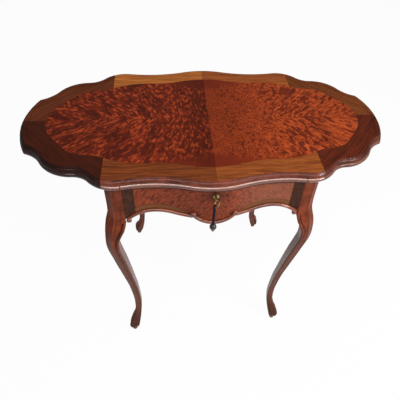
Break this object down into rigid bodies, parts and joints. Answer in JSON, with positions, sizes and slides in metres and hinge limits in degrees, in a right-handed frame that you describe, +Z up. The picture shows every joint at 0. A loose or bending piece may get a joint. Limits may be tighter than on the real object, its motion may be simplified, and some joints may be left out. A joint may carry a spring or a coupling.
{
  "type": "dressing table",
  "caption": "Drop-leaf dressing table with a serpentine veneered top, moulded edge, frieze drawer with key and tassel, and cabriole legs.",
  "frame": {"origin": "bottom centre of the whole object's box, on the floor; the table's own middle plane lies 11.75 mm behind it because the key stands in front", "axes": "+X along the table towards the right leaf, +Y towards the back, +Z up"},
  "size_m": [0.932, 0.5004, 0.735],
  "materials": {
    "walnut_rim": "polished reddish-brown walnut, carved and moulded, worn bright on the beads",
    "walnut_leg": "polished reddish-brown walnut with soft highlights",
    "burl_veneer": "french-polished orange-red burl veneer, book-matched",
    "border_veneer": "honey-brown straight-grained walnut veneer, polished",
    "dark_band": "dark cross-banded veneer, polished",
    "inner_wood": "plain dry softwood, unfinished",
    "brass": "old brass, dulled",
    "steel": "dark old iron",
    "pad": "pale turned wood pad",
    "cord": "dark navy twisted silk cord",
    "knob": "dark polished turned wood"
  },
  "bodies": {
    "frame": {"top_panel": "inner_wood", "top_moulding_front": "walnut_rim", "top_moulding_back": "walnut_rim", "top_burl_veneer": "burl_veneer", "top_border_front": "border_veneer", "top_border_back": "border_veneer", "leg_front_left": "walnut_leg", "leg_front_right": "walnut_leg", "leg_back_left": "walnut_leg", "leg_back_right": "walnut_leg", "foot_pads": "pad", "side_apron_left": "walnut_leg", "side_apron_right": "walnut_leg", "back_apron": "walnut_leg", "drawer_rail_upper": "inner_wood", "drawer_rail_lower": "inner_wood", "drawer_runner_left": "inner_wood", "drawer_runner_right": "inner_wood", "loper_guide_front": "inner_wood", "loper_guide_middle": "inner_wood", "loper_guide_back": "inner_wood", "hinge_left_frame_plates": "brass", "hinge_right_frame_plates": "brass", "hinge_left_pins": "brass", "hinge_right_pins": "brass"},
    "leaf_left": {"leaf_left_panel": "inner_wood", "leaf_left_moulding": "walnut_rim", "leaf_left_burl_veneer": "burl_veneer", "leaf_left_border_front": "border_veneer", "leaf_left_border_back": "border_veneer", "hinge_left_leaf_plates": "brass"},
    "leaf_right": {"leaf_right_panel": "inner_wood", "leaf_right_moulding": "walnut_rim", "leaf_right_burl_veneer": "burl_veneer", "leaf_right_border_front": "border_veneer", "leaf_right_border_back": "border_veneer", "hinge_right_leaf_plates": "brass"},
    "loper_left": {"loper_left": "inner_wood", "loper_left_peg": "inner_wood"},
    "loper_right": {"loper_right": "inner_wood", "loper_right_peg": "inner_wood"},
    "drawer": {"drawer_front": "inner_wood", "drawer_burl_veneer": "burl_veneer", "drawer_end_bands": "dark_band", "drawer_rim_bead": "walnut_rim", "drawer_cock_bead": "walnut_rim", "drawer_side_left": "inner_wood", "drawer_side_right": "inner_wood", "drawer_back": "inner_wood", "drawer_bottom": "inner_wood", "lock_case": "steel", "keyhole_plate": "brass"},
    "lock_bolt": {"lock_bolt": "steel"},
    "key": {"key": "brass"},
    "tassel": {"tassel_loop": "cord", "tassel_cord": "cord", "tassel_knob": "knob"}
  },
  "joints": [
    {"name": "leaf_left_fold", "type": "hinge", "parent": "frame", "child": "leaf_left", "pos_m": [-0.25325, 0.01175, 0.7085], "axis": [0, -1, 0], "range_deg": [0, 90]},
    {"name": "leaf_right_fold", "type": "hinge", "parent": "frame", "child": "leaf_right", "pos_m": [0.25325, 0.01175, 0.7085], "axis": [0, 1, 0], "range_deg": [0, 90]},
    {"name": "loper_left_slide", "type": "slide", "parent": "frame", "child": "loper_left", "axis": [1, 0, 0], "range_m": [-0.15, 0]},
    {"name": "loper_right_slide", "type": "slide", "parent": "frame", "child": "loper_right", "axis": [-1, 0, 0], "range_m": [-0.15, 0]},
    {"name": "drawer_slide", "type": "slide", "parent": "frame", "child": "drawer", "axis": [0, -1, 0], "range_m": [0, 0.26]},
    {"name": "key_turn", "type": "hinge", "parent": "drawer", "child": "key", "pos_m": [0, -0.21725, 0.686], "axis": [0, 1, 0], "range_deg": [-35, 75]},
    {"name": "lock_bolt_throw", "type": "slide", "parent": "drawer", "child": "lock_bolt", "axis": [0, 0, 1], "range_m": [-0.00275, 0.0059]},
    {"name": "tassel_hang", "type": "hinge", "parent": "key", "child": "tassel", "pos_m": [-0.00545, -0.23925, 0.67822], "axis": [0, 1, 0], "range_deg": [-76, 36]}
  ],
  "couplings": [
    {"joint": "lock_bolt_throw", "follows": "key_turn", "m_per_rad": 0.0044563},
    {"joint": "tassel_hang", "follows": "key_turn", "ratio": -1}
  ]
}
